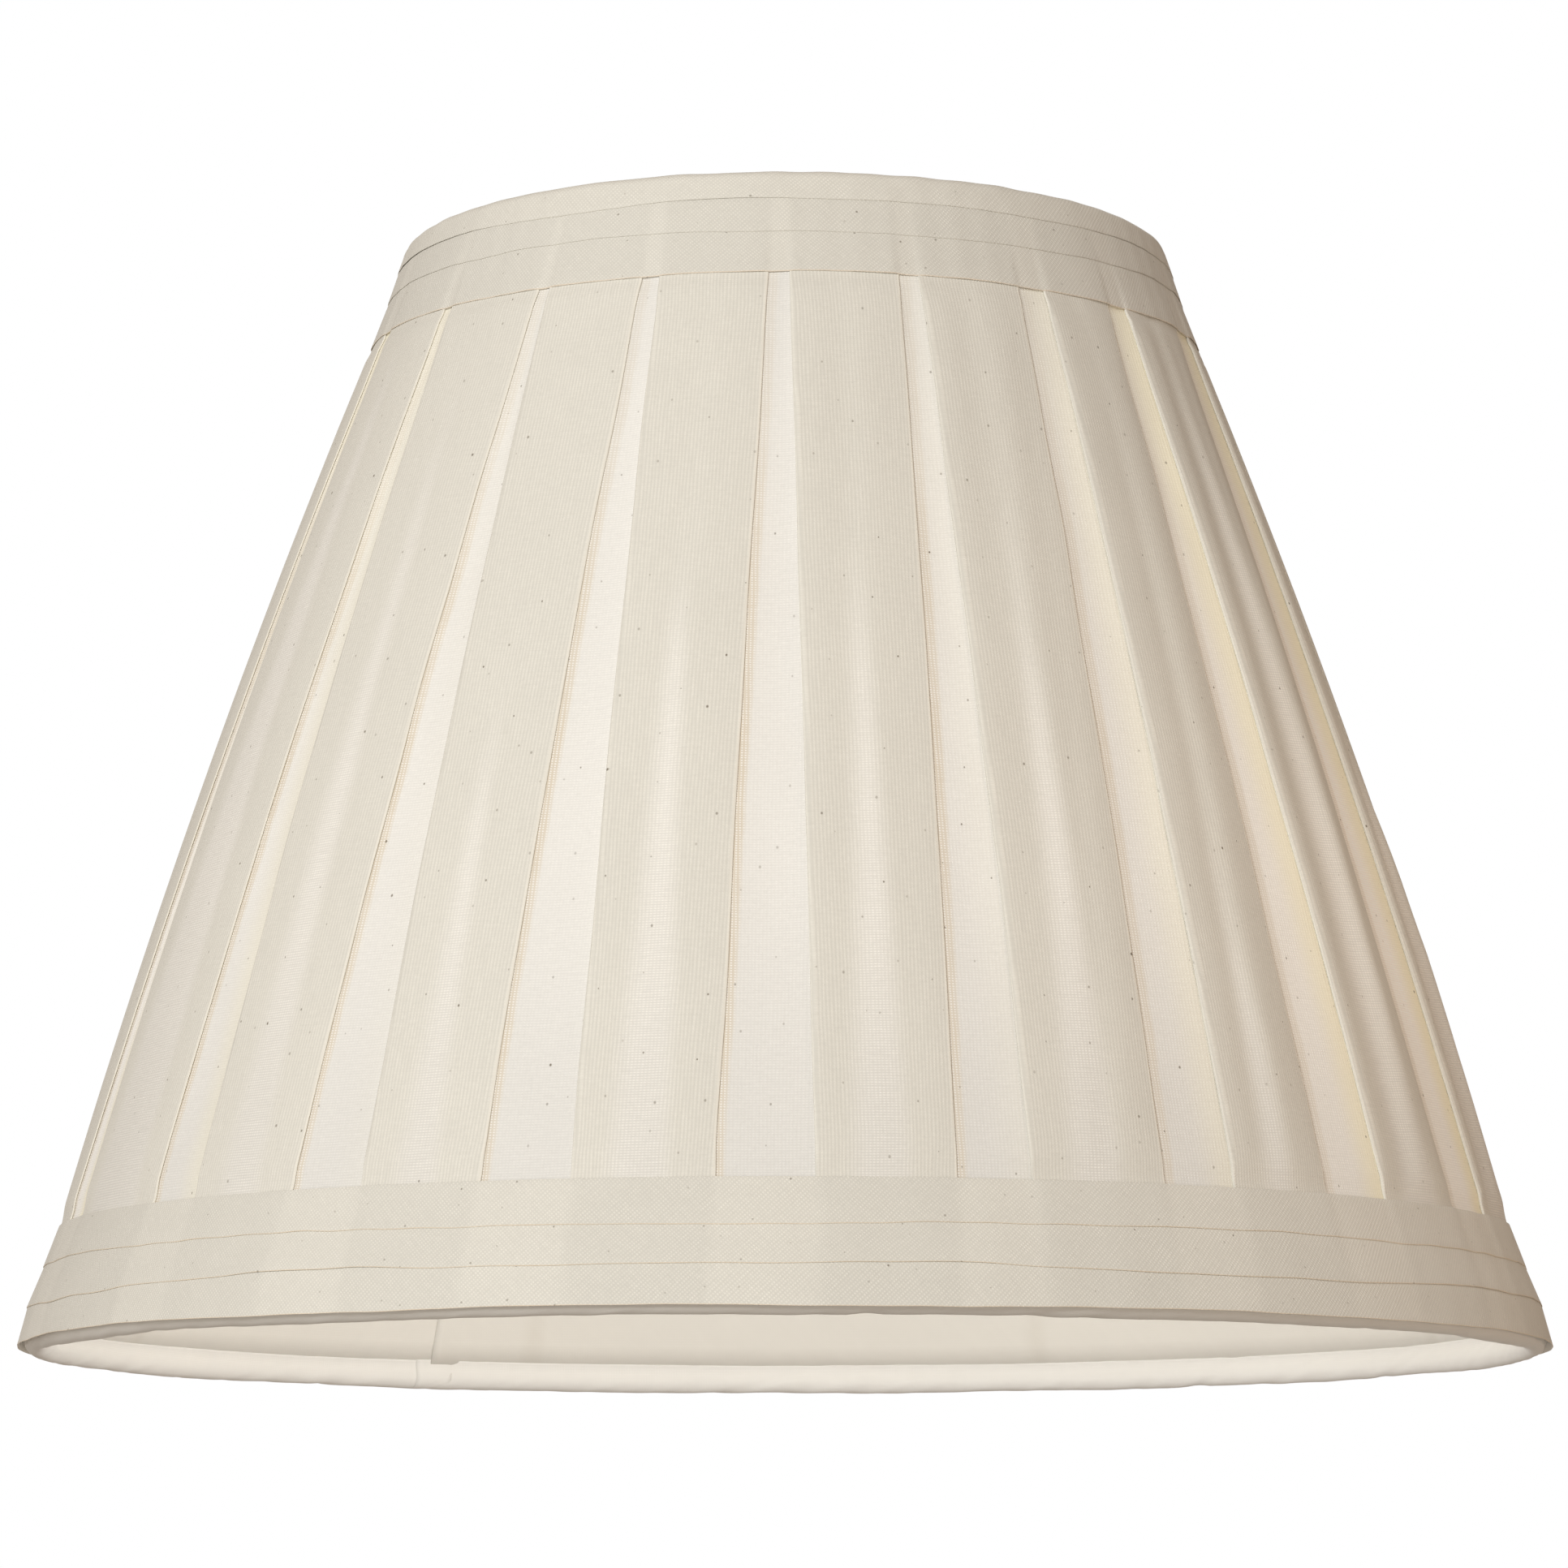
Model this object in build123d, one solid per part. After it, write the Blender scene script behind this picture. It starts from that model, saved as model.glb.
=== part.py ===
"""Box-pleated empire lamp shade with a soft back, on a wire frame with a recessed three-arm spider.

The shade stands on its bottom hem at z = 0, centred on the Z axis. Nearly every piece is turned
about that axis, so most sections are given in wall coordinates: a distance down the wall from the
top ring, and a distance out from the line that joins the centres of the two rings.
"""

from build123d import *
import os
from math import cos, degrees, hypot, radians, sin

# Frame: two rings, the ribs between them and the spider inside the top ring.
top_ring_radius = 100.0
top_ring_z = 296.0
bottom_ring_radius = 198.5
bottom_ring_z = 4.0
ring_wire_radius = 1.5
rib_count = 8
rib_wire_radius = 1.0
first_rib_angle = 22.5
arm_count = 3
arm_wire_radius = 1.4
first_arm_angle = 90.0
arm_drop = 13.0
arm_shoulder = 6.0
arm_slope = 5.0
arm_bend_radius = 4.5
washer_radius = 15.0
washer_thickness = 2.0
washer_edge_round = 0.4
harp_hole_radius = 5.55

# Cloth thicknesses and the room left between neighbouring pieces.
tape_thickness = 0.4
lining_thickness = 0.5
trim_thickness = 0.5
weld_gap = 0.02
sewn_gap = 0.05
slit_gap = 0.3

# Lining: the inner wall, and the hem rolled round the bottom ring.
lining_out = -1.6
lining_top = 2.4
lining_bottom = 304.6
hem_shift_in = 0.4
hem_radius = 3.6
hem_thickness = 1.0
hem_open_inside = 30.0
hem_open_outside = 42.0

# Pleated cover: pressed flat under the trims and puffed out between them.
cover_inside = 1.75
cover_pressed_out = 2.35
cover_top = 3.0
cover_bottom = 304.5
pleats_start = 29.5
pleats_end = 275.5
pleats_edge_out = 4.17
pleats_middle_out = 7.5
pleat_lead_in = 2.5

# Top trim: the rim band rolls over the top ring, and two strips shingle down below it.
rim_centre_out = 0.6
rim_radius = 3.5
rim_inside_down = 5.0
rim_edge = (6.0, 4.05)
top_strips = {
    "top_trim_middle": ((3.0, 3.0), (15.1, 3.75)),
    "top_trim_lower": ((12.0, 2.88), (28.0, 3.95)),
}

# Bottom trim: three strips, each tucked under the lower edge of the one above it.
bottom_strips = {
    "bottom_trim_upper": ((278.4, 3.3), (290.2, 4.18)),
    "bottom_trim_middle": ((287.0, 3.05), (301.1, 4.8)),
    "bottom_trim_lower": ((298.5, 3.3), (311.2, 3.95)),
}

wall_length = hypot(bottom_ring_radius - top_ring_radius, bottom_ring_z - top_ring_z)
down_r = (bottom_ring_radius - top_ring_radius) / wall_length
down_z = (bottom_ring_z - top_ring_z) / wall_length
spider_z = top_ring_z - arm_drop


def wall_point(down, out):
    """Point of the X-Z half plane at a place on the wall."""
    radius = top_ring_radius + down * down_r - out * down_z
    height = top_ring_z + down * down_z + out * down_r
    return Vector(radius, 0, height)


def wall_place(radius, height):
    """Distance down and out of the wall of a point of the X-Z half plane."""
    along_r = radius - top_ring_radius
    along_z = height - top_ring_z
    return along_r * down_r + along_z * down_z, along_z * down_r - along_r * down_z


def around(centre, radius, angle):
    """Wall point at a radius from a centre, with the angle from straight up to straight out."""
    down, out = centre
    return wall_point(down - radius * cos(radians(angle)), out + radius * sin(radians(angle)))


def arc_about(centre, radius, start, end):
    """Arc about a wall place, from one angle to another."""
    middle = (start + end) / 2
    return ThreePointArc(*[around(centre, radius, angle) for angle in (start, middle, end)])


def turned(*edges):
    """Solid of revolution about Z from the closed outline that the edges make."""
    return revolve(make_face(Curve() + list(edges)), Axis.Z)


def outline(*places):
    """Closed outline through places on the wall."""
    return Polyline(*[wall_point(*place) for place in places], close=True)


def ring(radius, height, wire_radius):
    """Round wire ring about Z."""
    return Pos(0, 0, height) * Torus(radius, wire_radius)


def make_top_ring():
    return ring(top_ring_radius, top_ring_z, ring_wire_radius)


def make_bottom_ring():
    return ring(bottom_ring_radius, bottom_ring_z, ring_wire_radius)


def wire_along(path, radius):
    """Round bar along a path."""
    start = Plane(origin=path @ 0, z_dir=path % 0)
    return sweep(start * Circle(radius), path=path)


def arm_bar(angle, radius):
    """Bar from the top ring: a short shoulder, a steep drop and a level run to the washer."""
    shoulder_end = top_ring_radius - ring_wire_radius - arm_shoulder
    path = FilletPolyline(
        (top_ring_radius, 0, top_ring_z),
        (shoulder_end, 0, top_ring_z),
        (shoulder_end - arm_slope, 0, spider_z),
        (washer_radius - 1, 0, spider_z),
        radius=arm_bend_radius,
    )
    return Rot(0, 0, angle) * wire_along(path, radius)


def make_rib(angle):
    """Straight rib wire from ring to ring, coped at both ends to fit them."""
    rib = wire_along(Line(wall_point(0, 0), wall_point(wall_length, 0)), rib_wire_radius)
    rib -= ring(top_ring_radius, top_ring_z, ring_wire_radius + weld_gap)
    rib -= ring(bottom_ring_radius, bottom_ring_z, ring_wire_radius + weld_gap)
    return Rot(0, 0, angle) * rib


def make_spider_arm(angle):
    """Spider arm, coped to the top ring and to the washer's edge."""
    arm = arm_bar(angle, arm_wire_radius)
    arm -= ring(top_ring_radius, top_ring_z, ring_wire_radius + weld_gap)
    return arm - Pos(0, 0, spider_z) * Cylinder(washer_radius + weld_gap, 4 * arm_wire_radius)


def make_washer():
    """Flat round washer with the hole that the harp's stud passes through."""
    disc = Cylinder(washer_radius, washer_thickness)
    disc = fillet(disc.edges().filter_by(GeomType.CIRCLE), washer_edge_round)
    return Pos(0, 0, spider_z) * (disc - Cylinder(harp_hole_radius, 2 * washer_thickness))


def make_tape(radius, height, wire_angles):
    """Cotton tape wound on a ring, with one length in each bay between the frame's other wires."""
    inside = ring_wire_radius + sewn_gap
    section = Circle(inside + tape_thickness) - Circle(inside)
    section = Pos(radius, 0, height) * Rot(90, 0, 0) * section
    margin = degrees((arm_wire_radius + slit_gap) / radius)
    starts = sorted(angle % 360 for angle in wire_angles)
    ends = starts[1:] + [starts[0] + 360]
    bays = [
        revolve(Rot(0, 0, start + margin) * section, Axis.Z, end - start - 2 * margin)
        for start, end in zip(starts, ends)
    ]
    return Compound(bays)


def make_lining():
    """Inner wall of the shade, a plain cone of lining cloth."""
    inside = lining_out - lining_thickness
    return turned(
        outline(
            (lining_top, lining_out),
            (lining_bottom, lining_out),
            (lining_bottom, inside),
            (lining_top, inside),
        )
    )


def make_hem_roll():
    """Lining cloth rolled under the bottom ring, open upwards where the ribs come down."""
    centre = wall_place(bottom_ring_radius - hem_shift_in, hem_radius)
    start = hem_open_outside
    end = 360 - hem_open_inside
    inner_radius = hem_radius - hem_thickness
    return turned(
        arc_about(centre, hem_radius, start, end),
        Line(around(centre, hem_radius, end), around(centre, inner_radius, end)),
        arc_about(centre, inner_radius, start, end),
        Line(around(centre, inner_radius, start), around(centre, hem_radius, start)),
    )


def make_pleated_cover():
    """Space that the box-pleated cover fills, pressed at both ends and crowned between."""
    middle = (pleats_start + pleats_end) / 2
    top_edge = wall_point(pleats_start, pleats_edge_out)
    bottom_edge = wall_point(pleats_end, pleats_edge_out)
    crown = ThreePointArc(top_edge, wall_point(middle, pleats_middle_out), bottom_edge)
    rest = Polyline(
        bottom_edge,
        wall_point(pleats_end + pleat_lead_in, cover_pressed_out),
        wall_point(cover_bottom, cover_pressed_out),
        wall_point(cover_bottom, cover_inside),
        wall_point(cover_top, cover_inside),
        wall_point(cover_top, cover_pressed_out),
        wall_point(pleats_start - pleat_lead_in, cover_pressed_out),
        top_edge,
    )
    return turned(crown, rest)


def make_rim_band(arms):
    """Trim band that rolls over the top ring, slit where the spider's arms pass through it."""
    centre = (0, rim_centre_out)
    inner_radius = rim_radius - trim_thickness
    edge_down, edge_out = rim_edge
    outside = rim_centre_out - rim_radius
    inside = rim_centre_out - inner_radius
    band = turned(
        arc_about(centre, rim_radius, 90, -90),
        Polyline(
            around(centre, rim_radius, -90),
            wall_point(rim_inside_down, outside),
            wall_point(rim_inside_down, inside),
            around(centre, inner_radius, -90),
        ),
        arc_about(centre, inner_radius, -90, 90),
        Polyline(
            around(centre, inner_radius, 90),
            wall_point(edge_down, edge_out - trim_thickness),
            wall_point(edge_down, edge_out),
            around(centre, rim_radius, 90),
        ),
    )
    for arm in arms:
        band -= arm
    return band


def make_strip(upper, lower):
    """Flat trim strip from its hidden upper edge to its folded lower edge."""
    return turned(
        outline(
            upper,
            lower,
            (lower[0], lower[1] - trim_thickness),
            (upper[0], upper[1] - trim_thickness),
        )
    )


def spread(count, first_angle):
    """Evenly spaced angles about Z."""
    return [first_angle + 360 / count * index for index in range(count)]


def make_parts():
    """Every node of the shade, by name."""
    rib_angles = spread(rib_count, first_rib_angle)
    arm_angles = spread(arm_count, first_arm_angle)
    arm_slits = [arm_bar(angle, arm_wire_radius + slit_gap) for angle in arm_angles]
    parts = {
        "top_ring": make_top_ring(),
        "bottom_ring": make_bottom_ring(),
        "spider_washer": make_washer(),
        "top_ring_tape": make_tape(top_ring_radius, top_ring_z, rib_angles + arm_angles),
        "bottom_ring_tape": make_tape(bottom_ring_radius, bottom_ring_z, rib_angles),
        "lining": make_lining(),
        "hem_roll": make_hem_roll(),
        "pleated_cover": make_pleated_cover(),
        "top_trim_rim": make_rim_band(arm_slits),
    }
    for number, angle in enumerate(rib_angles, 1):
        parts[f"rib_{number}"] = make_rib(angle)
    for number, angle in enumerate(arm_angles, 1):
        parts[f"spider_arm_{number}"] = make_spider_arm(angle)
    for name, (upper, lower) in {**top_strips, **bottom_strips}.items():
        parts[name] = make_strip(upper, lower)
    return parts


os.makedirs("parts", exist_ok=True)
for name, shape in make_parts().items():
    export_step(shape, f"parts/{name}.step")
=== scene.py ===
# Looks of the box-pleated lamp shade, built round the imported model.
#
# Places are in millimetres and in wall coordinates: the turn about the axis, from the front to the right,
# the distance down the wall from the top ring, and the distance out from the line that joins the rings.
# Only the finished points are in metres.

import random
from math import cos, hypot, pi, radians, sin, sqrt, tau

import bmesh
import bpy
import numpy as np
from mathutils import Matrix, Vector


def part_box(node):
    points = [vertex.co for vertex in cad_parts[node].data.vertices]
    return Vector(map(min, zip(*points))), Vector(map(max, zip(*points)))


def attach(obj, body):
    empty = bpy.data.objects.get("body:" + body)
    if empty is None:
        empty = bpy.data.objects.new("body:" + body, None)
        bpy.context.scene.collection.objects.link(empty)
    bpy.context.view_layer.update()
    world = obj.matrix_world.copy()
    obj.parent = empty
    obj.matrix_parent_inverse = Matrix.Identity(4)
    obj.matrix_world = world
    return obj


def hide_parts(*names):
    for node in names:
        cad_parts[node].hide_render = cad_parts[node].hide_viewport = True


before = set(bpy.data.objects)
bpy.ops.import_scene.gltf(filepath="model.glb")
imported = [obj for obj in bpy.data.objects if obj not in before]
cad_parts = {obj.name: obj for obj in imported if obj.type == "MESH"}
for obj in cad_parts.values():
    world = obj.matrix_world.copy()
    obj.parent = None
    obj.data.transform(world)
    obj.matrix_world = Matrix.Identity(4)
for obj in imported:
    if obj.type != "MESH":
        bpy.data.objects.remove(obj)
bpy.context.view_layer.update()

MM = 0.001


# --- wall coordinates

def ring_middle(node):
    """Radius and height of the middle of a ring's wire."""
    low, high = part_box(node)
    wire_radius = (high.z - low.z) / 2
    return (high.x - wire_radius) / MM, (high.z - wire_radius) / MM


top_radius, top_height = ring_middle("top_ring")
bottom_radius, bottom_height = ring_middle("bottom_ring")
wall_length = hypot(bottom_radius - top_radius, bottom_height - top_height)
down_r = (bottom_radius - top_radius) / wall_length
down_z = (bottom_height - top_height) / wall_length


def wall_point(down, out):
    """Radius and height of a place on the wall."""
    return top_radius + down * down_r - out * down_z, top_height + down * down_z + out * down_r


def around(radius, height, turn):
    """Points in metres, from radius, height and turn."""
    x, y, z = np.broadcast_arrays(radius * np.sin(turn), -radius * np.cos(turn), height)
    return np.stack([x, y, z], -1) * MM


def wall_place(radius, height):
    """Place on the wall, as down and out, from radius and height."""
    along_r = radius - top_radius
    along_z = height - top_height
    return along_r * down_r + along_z * down_z, along_z * down_r - along_r * down_z


def on_wall(turn, down, out):
    """Points in metres, from a turn and a place on the wall."""
    return around(*wall_point(down, out), turn)


def corner_places(node):
    """Radius and height of every corner of a CAD node."""
    corners = np.array([vertex.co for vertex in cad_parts[node].data.vertices], float) / MM
    return np.hypot(corners[:, 0], corners[:, 1]), corners[:, 2]


class Span:
    """Where a CAD node begins and ends on the wall."""

    def __init__(self, node):
        self.down, self.out = wall_place(*corner_places(node))
        self.top, self.bottom = self.down.min(), self.down.max()
        self.inside, self.outside = self.out.min(), self.out.max()
        self.top_out = self.out[self.down < self.top + 0.1].max()
        self.bottom_out = self.out[self.down > self.bottom - 0.1].max()


def turn_of(node):
    """Turn at which the middle of a CAD node lies."""
    low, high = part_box(node)
    middle = (low + high) / 2
    return np.arctan2(middle.x, -middle.y)


def turn_from(node_turn, turn):
    """Angle from one turn to another, the short way round."""
    return (turn - node_turn + pi) % tau - pi


rib_nodes = [f"rib_{number}" for number in range(1, 9)]
arm_nodes = [f"spider_arm_{number}" for number in range(1, 4)]


# --- shapes

def smooth(value, start=0.0, end=1.0):
    """0 before start, 1 after end, and a smooth step between them."""
    step = np.clip((value - start) / (end - start), 0, 1)
    return step * step * (3 - 2 * step)


def ripples(seed, longest, shortest, count=7):
    """Smooth uneven wave of about unit height, from a few sines of mixed length."""
    source = random.Random(seed)
    waves = [(tau / source.uniform(shortest, longest), source.uniform(0, tau)) for _ in range(count)]
    return lambda place: sum(np.sin(place * rate + phase) for rate, phase in waves) * sqrt(2 / count)


def grid_faces(rows, columns, first=0):
    """Corners of every face of a grid of points, row by row."""
    corner = first + np.arange(rows * columns).reshape(rows, columns)
    faces = np.stack([corner[:-1, :-1], corner[1:, :-1], corner[1:, 1:], corner[:-1, 1:]], -1)
    return faces.reshape(-1, 4).tolist()


def smooth_mesh(name, points, faces, attributes):
    """Smooth mesh, with three numbers at every point for each attribute."""
    mesh = bpy.data.meshes.new(name)
    mesh.from_pydata(points, [], faces)
    mesh.shade_smooth()
    for label, values in attributes.items():
        attribute = mesh.attributes.new(label, "FLOAT_VECTOR", "POINT")
        attribute.data.foreach_set("vector", np.array(values, np.float32).ravel())
    return mesh


def grid_mesh(name, points, **attributes):
    """Mesh of a grid of points, with fields given for its rows, its columns or both."""
    shape = points.shape[:2]
    for label, fields in attributes.items():
        attributes[label] = np.stack([np.broadcast_to(field, shape) for field in fields], -1)
    return smooth_mesh(name, points.reshape(-1, 3).tolist(), grid_faces(*shape), attributes)


def add_object(name, data):
    """New object in the scene."""
    item = bpy.data.objects.new(name, data)
    bpy.context.scene.collection.objects.link(item)
    return item


def add_piece(name, mesh, material, replaced=(), thickness=None):
    """Piece that rides on the shade in place of CAD nodes."""
    piece = add_object(name, mesh)
    mesh.materials.append(material)
    if thickness:
        shell = piece.modifiers.new("cloth", "SOLIDIFY")
        shell.thickness = thickness * MM
        shell.offset = 0
    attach(piece, "root")
    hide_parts(*replaced)
    return piece


# --- shader nodes

def srgb(*levels):
    """Linear colour from the levels that a screen shows, from 11 to 255."""
    return *(((level / 255 + 0.055) / 1.055) ** 2.4 for level in levels), 1.0


def arithmetic(operation, swapped=False):
    """Method of a field that adds one math node."""
    def apply(self, other):
        return self.shader.math(operation, *((other, self) if swapped else (self, other)))
    return apply


class Field:
    """Number or colour that varies over a surface. Arithmetic on it adds math nodes."""

    def __init__(self, shader, socket):
        self.shader = shader
        self.socket = socket

    __add__ = __radd__ = arithmetic("ADD")
    __sub__ = arithmetic("SUBTRACT")
    __rsub__ = arithmetic("SUBTRACT", swapped=True)
    __mul__ = __rmul__ = arithmetic("MULTIPLY")
    __truediv__ = arithmetic("DIVIDE")


class Shader:
    """Material built with one short call for each node."""

    def __init__(self, name, constants):
        self.material = bpy.data.materials.new(name)
        self.material.use_nodes = True
        self.nodes = self.material.node_tree.nodes
        self.links = self.material.node_tree.links
        self.surface = self.nodes["Principled BSDF"].inputs
        for socket, value in constants.items():
            self.surface[socket].default_value = value

    def feed(self, socket, value):
        """Links a field to a socket, or sets the socket to a plain value."""
        if isinstance(value, Field):
            self.links.new(value.socket, socket)
        else:
            socket.default_value = value

    def node(self, kind, output, inputs, **settings):
        node = self.nodes.new(kind)
        for key, value in settings.items():
            setattr(node, key, value)
        for key, value in inputs.items():
            self.feed(node.inputs[key], value)
        return Field(self, node.outputs[output])

    def math(self, operation, *values):
        return self.node("ShaderNodeMath", 0, dict(enumerate(values)), operation=operation)

    def attribute(self, name):
        """The three numbers of a mesh attribute."""
        vector = self.node("ShaderNodeAttribute", "Vector", {}, attribute_name=name)
        return [self.node("ShaderNodeSeparateXYZ", axis, {0: vector}) for axis in range(3)]

    def object_place(self):
        """Place on the object in millimetres, as three numbers."""
        vector = self.node("ShaderNodeTexCoord", "Object", {})
        return [self.node("ShaderNodeSeparateXYZ", axis, {0: vector}) / MM for axis in range(3)]

    def vector(self, x, y, z=0.0):
        return self.node("ShaderNodeCombineXYZ", 0, {0: x, 1: y, 2: z})

    def step(self, value, start, end):
        """0 before start, 1 after end, and a smooth step between them."""
        inputs = {"Value": value, "From Min": start, "From Max": end}
        return self.node("ShaderNodeMapRange", 0, inputs, interpolation_type="SMOOTHSTEP")

    def noise(self, x, y, z=0.0, detail=2.0):
        """Cloudy noise from -1 to 1, with one cloud for each unit."""
        inputs = {"Vector": self.vector(x, y, z), "Scale": 1.0, "Detail": detail}
        return self.node("ShaderNodeTexNoise", "Fac", inputs) * 2 - 1

    def tops(self, place, pitch):
        """1 along the top of each thread, and 0 half way between two."""
        return self.math("COSINE", place * (tau / pitch)) * 0.5 + 0.5

    def specks(self, x, y, radius, share):
        """Small dark flecks: one in each unit square of a share of them."""
        inputs = {"Vector": self.vector(x, y), "Scale": 1.0}
        distance, tint = (
            self.node("ShaderNodeTexVoronoi", output, inputs, voronoi_dimensions="2D")
            for output in ("Distance", "Color")
        )
        chance, strength, size = (self.node("ShaderNodeSeparateColor", part, {0: tint}) for part in range(3))
        inside = 1 - self.step(distance / (size * radius * 0.6 + radius * 0.7), 0.4, 1.1)
        dark = inside * (strength * strength * 0.6 + 0.3)
        return dark * (1 - self.step(chance, share - 0.01, share + 0.01))

    def mix(self, share, first, second):
        """Colour that goes from the first to the second as share goes from 0 to 1."""
        return self.node("ShaderNodeMix", 2, {0: share, 6: first, 7: second}, data_type="RGBA")

    def scaled(self, colour, amount):
        """Colour made brighter or darker."""
        if not isinstance(colour, Field):
            colour = colour[:3]
        return self.node("ShaderNodeVectorMath", 0, {0: colour, 3: amount}, operation="SCALE")

    def finish(self, colour, roughness, height, depth):
        """Sets the surface's colour and roughness, and the height and depth of its bumps."""
        inputs = {"Height": height, "Distance": depth * MM, "Strength": 1.0}
        self.feed(self.surface["Base Color"], colour)
        self.feed(self.surface["Roughness"], roughness)
        self.feed(self.surface["Normal"], self.node("ShaderNodeBump", 0, inputs))
        return self.material


# --- camera, light and floor

camera_place = (-0.0003, -1.7429, -0.0909)
camera_pitch = 8.02
camera_lens = 149.9

floor_depth = 3.0
floor_size = 40.0
floor_light_above = 0.4
floor_watts_per_area = 1.75


def make_camera():
    camera = add_object("camera", bpy.data.cameras.new("camera"))
    camera.data.lens = camera_lens
    camera.data.sensor_width = 36.0
    camera.data.clip_start = 0.05
    camera.location = camera_place
    camera.rotation_euler = (radians(90 + camera_pitch), 0, 0)
    bpy.context.scene.camera = camera


def add_light(name, kind, place, power, tint=(1, 1, 1)):
    """Light that the camera doesn't see."""
    light = add_object(name, bpy.data.lights.new(name, kind))
    light.location = place
    light.data.energy = power
    light.data.color = tint
    light.visible_camera = False
    return light


def add_soft_light(name, turn, height, distance, size, power, tint, aim=(0, 0, 0.15), spread=180):
    """Square soft box that faces the shade. A grid can narrow its spread."""
    turn = radians(turn)
    place = Vector((distance * sin(turn), -distance * cos(turn), height))
    light = add_light(name, "AREA", place, power, tint)
    light.data.size = size
    light.data.spread = radians(spread)
    light.rotation_euler = (Vector(aim) - place).to_track_quat("-Z", "Y").to_euler()


def make_light():
    cool = (0.955, 0.985, 1.0)
    warm = (1.0, 0.68, 0.45)
    golden = (1.0, 0.78, 0.6)
    add_soft_light("key_light", -20, 1.0, 2.5, 1.2, 44.5, cool)
    add_soft_light("low_light", 0, -0.5, 2.5, 1.2, 8, cool)
    add_soft_light("left_light", -82, 0.0, 2.5, 1.0, 8.3, cool)
    add_soft_light("right_fill", 105, -0.3, 1.3, 0.8, 0.2, warm)
    add_soft_light("right_grid", 65, 0.05, 0.95, 0.25, 0.044, golden, (0.135, -0.075, 0.105), 25)
    add_soft_light("back_fill", 180, 1.0, 2.5, 1.4, 24, cool)
    inner = add_light("inner_glow", "POINT", (0, 0, 0.03), 0.6)
    inner.data.shadow_soft_size = 0.08


def make_world():
    """White backdrop to the camera, and a dim warm light from all round on the shade."""
    world = bpy.data.worlds.new("studio")
    world.use_nodes = True
    nodes = world.node_tree.nodes
    links = world.node_tree.links
    ambient = nodes["Background"]
    backdrop = nodes.new("ShaderNodeBackground")
    for node, colour, strength in ((ambient, (1.0, 0.81, 0.66, 1), 0.32), (backdrop, (1, 1, 1, 1), 1.0)):
        node.inputs["Color"].default_value = colour
        node.inputs["Strength"].default_value = strength
    ray = nodes.new("ShaderNodeLightPath")
    choice = nodes.new("ShaderNodeMixShader")
    links.new(ray.outputs["Is Camera Ray"], choice.inputs[0])
    links.new(ambient.outputs[0], choice.inputs[1])
    links.new(backdrop.outputs[0], choice.inputs[2])
    links.new(choice.outputs[0], nodes["World Output"].inputs["Surface"])
    bpy.context.scene.world = world
    bpy.context.scene.view_settings.view_transform = "Standard"


def make_floor():
    """Plain pale floor, far below the low camera."""
    half = floor_size / 2
    corners = [(x, y, -floor_depth) for x, y in ((-half, -half), (half, -half), (half, half), (-half, half))]
    mesh = bpy.data.meshes.new("floor")
    mesh.from_pydata(corners, [], [(0, 1, 2, 3)])
    floor = add_object("floor", mesh)
    shader = Shader("pale_floor", {"Roughness": 0.9, "Base Color": srgb(240, 240, 238)})
    mesh.materials.append(shader.material)
    light_floor()


def light_floor():
    """Even light that makes the floor look pale. It doesn't bounce up to the shade."""
    place = (0, 0, floor_light_above - floor_depth)
    power = floor_watts_per_area * floor_size**2
    light = add_light("floor_light", "AREA", place, power, (0.93, 0.97, 1.0))
    light.data.size = floor_size
    light.data.cycles.max_bounces = 0
    light.data.cycles.use_multiple_importance_sampling = False


# --- materials

weave_across = 0.9
weave_along = 0.68
fleck_spacing = 12.0
fleck_radius = 0.026
fleck_colour = srgb(104, 92, 74)
cotton_surface = {"Sheen Weight": 0.12, "Sheen Roughness": 0.5, "Specular IOR Level": 0.25}


def plain_weave(look, across, along):
    """Slubby threads both ways: 0 between them, and about 1 along their tops."""
    drift_across = look.noise(across / 5, along / 22, 1.0) * 0.34
    drift_along = look.noise(across / 22, along / 5, 7.0) * 0.28
    warp = look.tops(across + drift_across, weave_across)
    weft = look.tops(along + drift_along, weave_along)
    warp_weight = look.noise(across / weave_across, along / 9, 3.0) * 0.9 + 0.85
    weft_weight = look.noise(across / 9, along / weave_along, 5.0) * 0.9 + 0.85
    return warp * warp_weight, weft * weft_weight


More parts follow.
